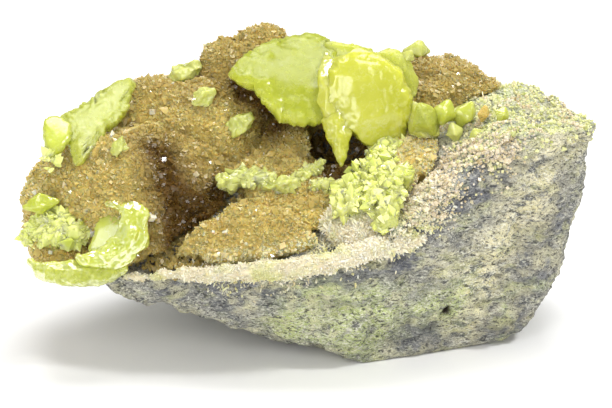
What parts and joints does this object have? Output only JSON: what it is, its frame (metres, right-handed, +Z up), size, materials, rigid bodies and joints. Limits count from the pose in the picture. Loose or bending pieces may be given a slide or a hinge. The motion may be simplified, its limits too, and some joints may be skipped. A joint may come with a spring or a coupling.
{
  "type": "sulfur crystal specimen on rock matrix",
  "caption": "Hand specimen of translucent yellow sulfur crystals on a golden calcite druse, lining one side of a broken grey limestone matrix with a flat foot.",
  "frame": {"origin": "middle of the bounding box, on the flat foot that the specimen stands on", "axes": "+X along the specimen, from its thin end to its tall end; +Y away from the side that shows the crystals; +Z up"},
  "size_m": [0.0946, 0.0532, 0.0504],
  "materials": {
    "limestone": "rough",
    "pale_crust": "matte",
    "druse": "glossy",
    "sulfur": "glossy"
  },
  "bodies": {
    "root": {"matrix_rock": "limestone", "rim_crust": "pale_crust", "druse_corner": "druse", "druse_floor": "druse", "druse_front": "druse", "druse_left": "druse", "druse_right": "druse", "druse_shelf": "druse", "sulfur_chain_1": "sulfur", "sulfur_chain_2": "sulfur", "sulfur_chain_3": "sulfur", "sulfur_far_edge": "sulfur", "sulfur_heap": "sulfur", "sulfur_horn": "sulfur", "sulfur_left_leaf": "sulfur", "sulfur_main_group": "sulfur", "sulfur_oval": "sulfur", "sulfur_right_1": "sulfur", "sulfur_right_2": "sulfur", "sulfur_right_group": "sulfur", "sulfur_single_1": "sulfur", "sulfur_single_2": "sulfur", "sulfur_single_3": "sulfur", "sulfur_single_4": "sulfur"}
  },
  "joints": []
}
